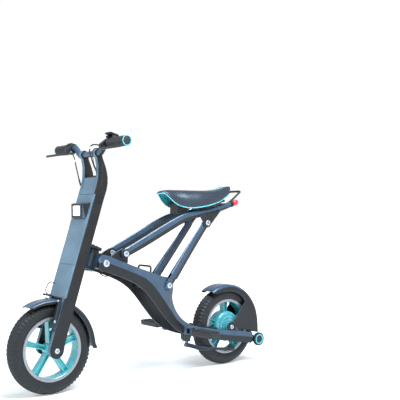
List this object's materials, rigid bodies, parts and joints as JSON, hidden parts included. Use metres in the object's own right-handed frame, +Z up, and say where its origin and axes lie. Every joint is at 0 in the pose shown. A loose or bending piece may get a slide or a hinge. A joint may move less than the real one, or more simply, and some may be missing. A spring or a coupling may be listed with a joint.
{
  "type": "folding bicycle",
  "caption": "Folding electric mini bike with twin-rail column, swan-neck frame, strut-braced seat arms, cast wheels, fold-out pegs and kickstand.",
  "frame": {"origin": "on the floor below the middle of the bounding box, midway between the front tyre's front and the rear fender's tail", "axes": "+X forward along the bike, +Y to the rider's left, +Z up"},
  "size_m": [1.1073, 0.4864, 0.8675],
  "materials": {
    "graphite_frame": "satin metallic paint",
    "blue_panel": "satin metallic paint",
    "black_metal": "matte anodised",
    "bolt_steel": "brushed",
    "tyre_rubber": "matt, treaded",
    "teal_wheel": "gloss paint over a casting",
    "grip_rubber": "matt",
    "black_plastic": "matt",
    "lens": "clear",
    "red_lens": "gloss",
    "saddle_leather": "satin"
  },
  "bodies": {
    "frame": {"frame_member_left": "graphite_frame", "frame_member_right": "graphite_frame", "frame_cross_tube": "graphite_frame", "rear_axle": "bolt_steel", "rear_fender": "graphite_frame", "strut_pivot_left": "bolt_steel", "strut_pivot_right": "bolt_steel", "latch_block": "black_metal", "motor_cable": "black_plastic"},
    "folding_head": {"head_yoke": "graphite_frame", "head_tube": "graphite_frame", "fold_hinge_shaft": "bolt_steel"},
    "column": {"column_rail_left": "graphite_frame", "column_rail_right": "graphite_frame", "cover_lower": "blue_panel", "cover_middle": "blue_panel", "cover_upper": "blue_panel", "column_bridge": "graphite_frame", "steer_bracket_lower": "graphite_frame", "steer_bracket_upper": "graphite_frame", "steering_stem": "bolt_steel", "front_axle": "bolt_steel", "front_fender": "graphite_frame", "headlight_housing": "graphite_frame", "headlight_lens": "lens", "handlebar": "graphite_frame", "grip_left": "grip_rubber", "grip_right": "grip_rubber", "lever_clamp_left": "black_metal", "lever_clamp_right": "black_metal", "display_unit": "black_plastic", "cable_left": "black_plastic", "cable_right": "black_plastic"},
    "front_wheel_body": {"front_tyre": "tyre_rubber", "front_wheel": "teal_wheel"},
    "throttle": {"throttle_ring": "grip_rubber"},
    "battery": {"battery_pack": "black_plastic"},
    "brake_lever_l": {"brake_lever_left": "graphite_frame"},
    "brake_lever_r": {"brake_lever_right": "graphite_frame"},
    "brake_arm_l": {"brake_arm_left": "black_metal"},
    "brake_arm_r": {"brake_arm_right": "black_metal"},
    "rear_wheel_body": {"rear_tyre": "tyre_rubber", "rear_wheel": "teal_wheel"},
    "roller_l": {"roller_left": "grip_rubber"},
    "roller_r": {"roller_right": "grip_rubber"},
    "peg_l": {"foot_peg_left": "black_metal"},
    "peg_r": {"foot_peg_right": "black_metal"},
    "stand": {"kickstand": "graphite_frame"},
    "release": {"release_handle": "black_metal"},
    "struts": {"strut_left": "graphite_frame", "strut_right": "graphite_frame"},
    "seat": {"seat_arm_left": "graphite_frame", "seat_arm_right": "graphite_frame", "arm_pivot_left": "bolt_steel", "arm_pivot_right": "bolt_steel", "seat_base": "black_metal", "saddle": "saddle_leather", "tail_light_left": "red_lens", "tail_light_right": "red_lens", "grab_loop": "black_metal"}
  },
  "joints": [
    {"name": "head_fold", "type": "hinge", "parent": "frame", "child": "folding_head", "pos_m": [0.2092, 0, 0.433], "axis": [0, 1, 0], "range_deg": [0, 50]},
    {"name": "steering", "type": "hinge", "parent": "folding_head", "child": "column", "pos_m": [0.2418, 0, 0.4173], "axis": [-0.3132, 0, 0.9497], "range_deg": [-35, 35]},
    {"name": "front_wheel_spin", "type": "hinge", "parent": "column", "child": "front_wheel_body", "pos_m": [0.4012, 0, 0.1525], "axis": [0, 1, 0], "continuous": true},
    {"name": "rear_wheel_spin", "type": "hinge", "parent": "frame", "child": "rear_wheel_body", "pos_m": [-0.3848, 0, 0.1525], "axis": [0, 1, 0], "continuous": true},
    {"name": "throttle_twist", "type": "hinge", "parent": "column", "child": "throttle", "pos_m": [0.2312, -0.13, 0.834], "axis": [0, -1, 0], "range_deg": [0, 60], "stiffness_Nm_per_rad": 0.05, "springref_deg": -17.19},
    {"name": "battery_tilt", "type": "hinge", "parent": "column", "child": "battery", "pos_m": [0.2802, 0, 0.518], "axis": [0, -1, 0], "range_deg": [0, 18]},
    {"name": "brake_lever_left_pull", "type": "hinge", "parent": "column", "child": "brake_lever_l", "pos_m": [0.2582, 0.1132, 0.814], "axis": [0, 0, 1], "range_deg": [0, 14], "stiffness_Nm_per_rad": 0.3, "springref_deg": -22.92},
    {"name": "brake_lever_right_pull", "type": "hinge", "parent": "column", "child": "brake_lever_r", "pos_m": [0.2582, -0.1132, 0.814], "axis": [0, 0, -1], "range_deg": [0, 14], "stiffness_Nm_per_rad": 0.3, "springref_deg": -22.92},
    {"name": "brake_arm_left_squeeze", "type": "hinge", "parent": "column", "child": "brake_arm_l", "pos_m": [0.4152, 0.0445, 0.224], "axis": [0.9497, 0, 0.3132], "range_deg": [0, 2.6]},
    {"name": "brake_arm_right_squeeze", "type": "hinge", "parent": "column", "child": "brake_arm_r", "pos_m": [0.4152, -0.0445, 0.224], "axis": [-0.9497, 0, -0.3132], "range_deg": [0, 2.6]},
    {"name": "roller_left_spin", "type": "hinge", "parent": "frame", "child": "roller_l", "pos_m": [-0.5263, 0.055, 0.09], "axis": [0, 1, 0], "continuous": true},
    {"name": "roller_right_spin", "type": "hinge", "parent": "frame", "child": "roller_r", "pos_m": [-0.5263, -0.055, 0.09], "axis": [0, 1, 0], "continuous": true},
    {"name": "foot_peg_left_fold", "type": "hinge", "parent": "frame", "child": "peg_l", "pos_m": [-0.1518, 0.0835, 0.166], "axis": [0, 0, 1], "range_deg": [0, 85]},
    {"name": "foot_peg_right_fold", "type": "hinge", "parent": "frame", "child": "peg_r", "pos_m": [-0.1518, -0.0835, 0.166], "axis": [0, 0, -1], "range_deg": [0, 85]},
    {"name": "kickstand_swing", "type": "hinge", "parent": "frame", "child": "stand", "pos_m": [-0.1628, 0.035, 0.106], "axis": [0.1471, -0.4657, -0.8726], "range_deg": [0, 104]},
    {"name": "release_pull", "type": "hinge", "parent": "frame", "child": "release", "pos_m": [0.0092, 0, 0.362], "axis": [0, 1, 0], "range_deg": [0, 45], "stiffness_Nm_per_rad": 0.15, "springref_deg": -17.19},
    {"name": "strut_swing", "type": "hinge", "parent": "frame", "child": "struts", "pos_m": [-0.0608, 0, 0.34], "axis": [0, 1, 0], "range_deg": [0, 12]},
    {"name": "seat_swing", "type": "hinge", "parent": "struts", "child": "seat", "pos_m": [-0.2508, 0, 0.566], "axis": [0, 1, 0], "range_deg": [-16, 0]}
  ],
  "couplings": [
    {"joint": "strut_swing", "follows": "head_fold", "ratio": 0.2274},
    {"joint": "seat_swing", "follows": "head_fold", "ratio": -0.2948},
    {"joint": "brake_arm_left_squeeze", "follows": "brake_lever_left_pull", "ratio": 0.17857},
    {"joint": "brake_arm_right_squeeze", "follows": "brake_lever_right_pull", "ratio": 0.17857}
  ]
}
